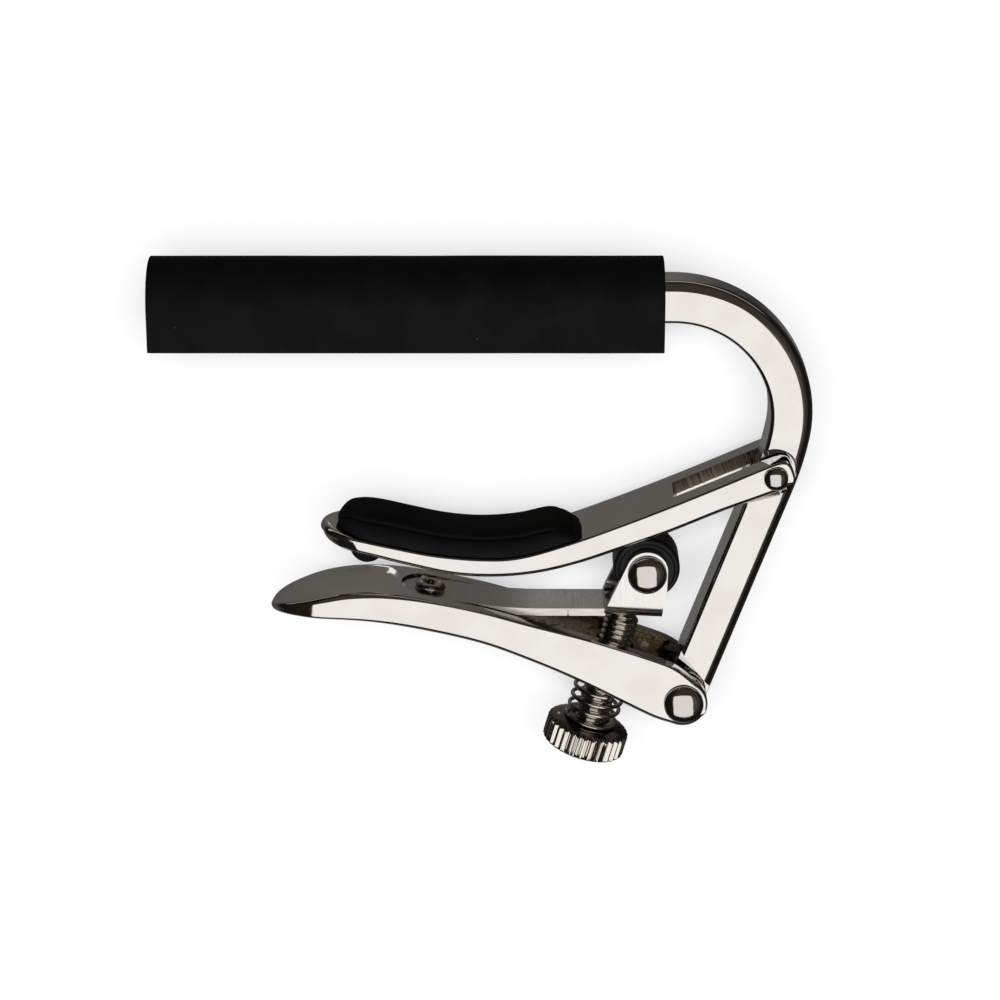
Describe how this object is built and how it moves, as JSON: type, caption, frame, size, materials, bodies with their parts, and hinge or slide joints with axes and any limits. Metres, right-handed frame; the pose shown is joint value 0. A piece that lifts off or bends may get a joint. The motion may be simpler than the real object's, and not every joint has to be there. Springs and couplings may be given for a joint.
{
  "type": "guitar capo",
  "caption": "Clamp-on capo: a bent bar with a rubber string sleeve, a swinging arm with a neck pad, and an over-centre lever that pushes a roller against the arm.",
  "frame": {"origin": "centre of the string sleeve's flat underside", "axes": "+X along the sleeve towards the bend of the bar, +Y across the width, +Z away from the strings"},
  "size_m": [0.0755, 0.0126, 0.0617],
  "materials": {
    "polished_nickel": "polished nickel plate",
    "spring_steel": "nickel-plated spring steel, finely brushed",
    "screw_steel": "dark plated steel",
    "black_rubber": "matte black rubber",
    "black_nylon": "black nylon"
  },
  "bodies": {
    "frame": {"frame_bar": "polished_nickel", "string_sleeve": "black_rubber", "arm_pivot_pin": "polished_nickel", "arm_pivot_cap": "polished_nickel", "lever_pivot_pin": "polished_nickel", "lever_pivot_cap": "polished_nickel"},
    "arm": {"pressure_arm": "polished_nickel", "neck_pad": "black_rubber"},
    "lever": {"lever": "polished_nickel", "bracket_rivet": "spring_steel", "screw_spring": "screw_steel"},
    "bracket": {"roller_bracket": "spring_steel", "roller_axle": "polished_nickel", "axle_cap": "polished_nickel"},
    "roller": {"roller": "black_nylon"},
    "screw_carriage": {"thrust_washer": "polished_nickel"},
    "screw": {"adjusting_screw": "screw_steel", "adjusting_knob": "polished_nickel"}
  },
  "joints": [
    {"name": "arm_swing", "type": "hinge", "parent": "frame", "child": "arm", "pos_m": [0.04218, 0, -0.0151], "axis": [0, 1, 0], "range_deg": [0, 21.5]},
    {"name": "lever_open", "type": "hinge", "parent": "frame", "child": "lever", "pos_m": [0.03218, 0, -0.04336], "axis": [0, -1, 0], "range_deg": [0, 105]},
    {"name": "leaf_flex", "type": "hinge", "parent": "lever", "child": "bracket", "pos_m": [0.0024, 0, -0.0311], "axis": [0, 1, 0], "range_deg": [0, 5.3]},
    {"name": "roller_spin", "type": "hinge", "parent": "bracket", "child": "roller", "pos_m": [0.0277, 0, -0.02742], "axis": [0, 1, 0], "continuous": true},
    {"name": "screw_advance", "type": "slide", "parent": "lever", "child": "screw_carriage", "axis": [0.2706, 0, 0.9627], "range_m": [-0.0021, 0], "deforming": ["screw_spring"]},
    {"name": "screw_turn", "type": "hinge", "parent": "screw_carriage", "child": "screw", "pos_m": [0.02186, 0, -0.04574], "axis": [0.2706, 0, 0.9627], "range_deg": [-1085, 0]}
  ],
  "couplings": [
    {"joint": "screw_turn", "follows": "screw_advance", "rad_per_m": 8976},
    {"joint": "leaf_flex", "follows": "screw_advance", "rad_per_m": -41.667}
  ]
}
